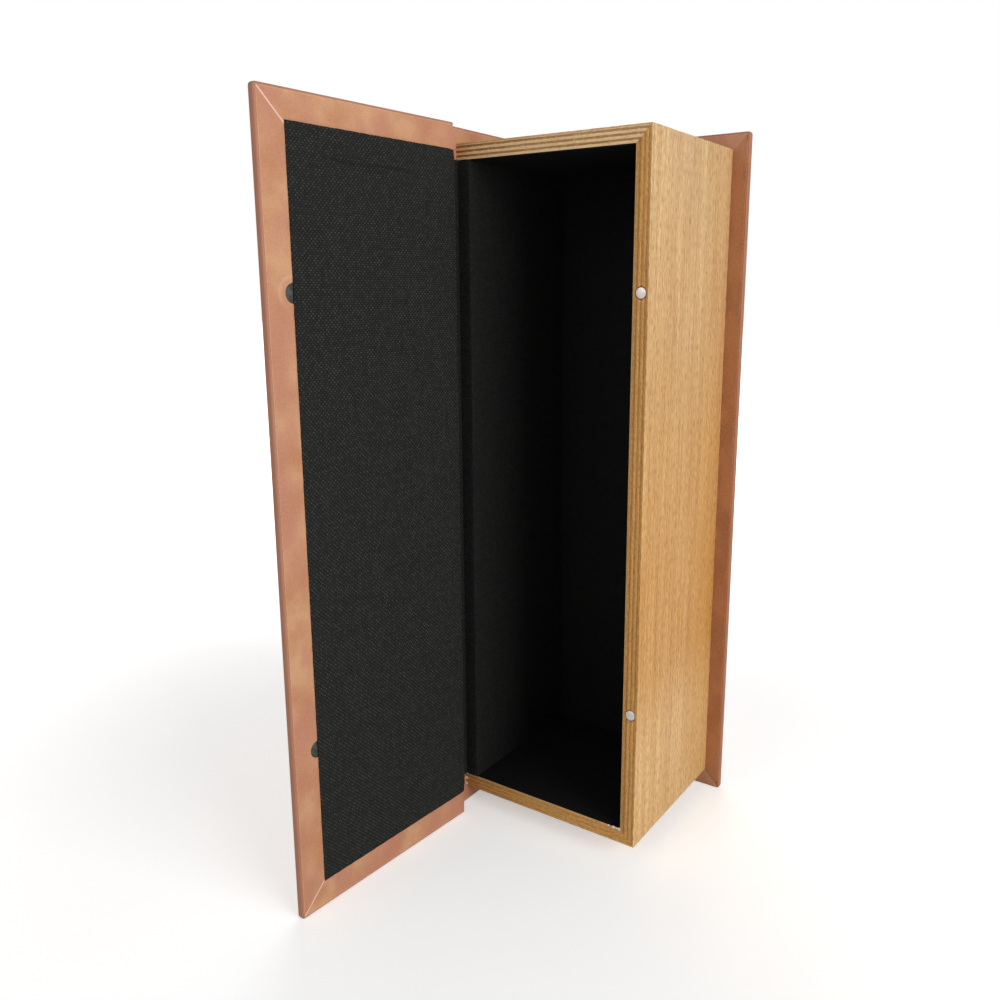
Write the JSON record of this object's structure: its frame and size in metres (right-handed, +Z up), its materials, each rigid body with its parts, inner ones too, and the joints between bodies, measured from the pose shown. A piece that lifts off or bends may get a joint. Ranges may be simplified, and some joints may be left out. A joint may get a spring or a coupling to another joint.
{
  "type": "book-style bottle box",
  "caption": "Book-shaped gift box for one bottle: a wood tray glued in a leather book case, whose front cover swings on a creased leather hinge and shuts on magnets.",
  "frame": {"origin": "middle of the whole box's footprint with the cover open as stored, on the surface that the case's lower edges stand on", "axes": "+Z up along the height of the standing box, +X from the spine to the fore edge, +Y from the open front to the back cover"},
  "size_m": [0.1172, 0.21, 0.3524],
  "materials": {
    "plywood": "sanded plywood, plies showing on the edges",
    "veneer": "satin straight-grained wood veneer",
    "panel": "plain thin plywood",
    "cloth": "black linen cloth on paper, plain weave",
    "leather": "mottled tan leathercloth, soft sheen",
    "board": "grey board",
    "nickel": "nickel plate",
    "steel": "dark steel"
  },
  "bodies": {
    "box": {"top_wall": "plywood", "bottom_wall": "plywood", "spine_wall": "plywood", "fore_edge_wall": "plywood", "back_panel": "panel", "top_veneer": "veneer", "bottom_veneer": "veneer", "fore_edge_veneer": "veneer", "spine_side_lining": "cloth", "top_lining": "cloth", "bottom_lining": "cloth", "fore_edge_lining": "cloth", "back_lining": "cloth", "upper_magnet": "nickel", "lower_magnet": "nickel", "spine_board": "board", "spine_leather": "leather", "back_joint_leather": "leather", "back_board": "board", "back_cover_leather": "leather"},
    "hinge_strip": {"hinge_leather": "leather", "hinge_lining": "cloth"},
    "front_cover": {"front_board": "board", "front_cover_leather": "leather", "cover_lining": "cloth", "upper_disc": "steel", "lower_disc": "steel"}
  },
  "joints": [
    {"name": "spine_crease", "type": "hinge", "parent": "box", "child": "hinge_strip", "pos_m": [-0.05636, 0.0081, 0.1762], "axis": [0, 0, -1], "range_deg": [-37.72, 34.28]},
    {"name": "cover_crease", "type": "hinge", "parent": "hinge_strip", "child": "front_cover", "pos_m": [-0.05027, 0.00339, 0.1762], "axis": [0, 0, -1], "range_deg": [-56.58, 51.42]}
  ],
  "couplings": [
    {"joint": "spine_crease", "follows": "cover_crease", "ratio": 0.66667}
  ]
}
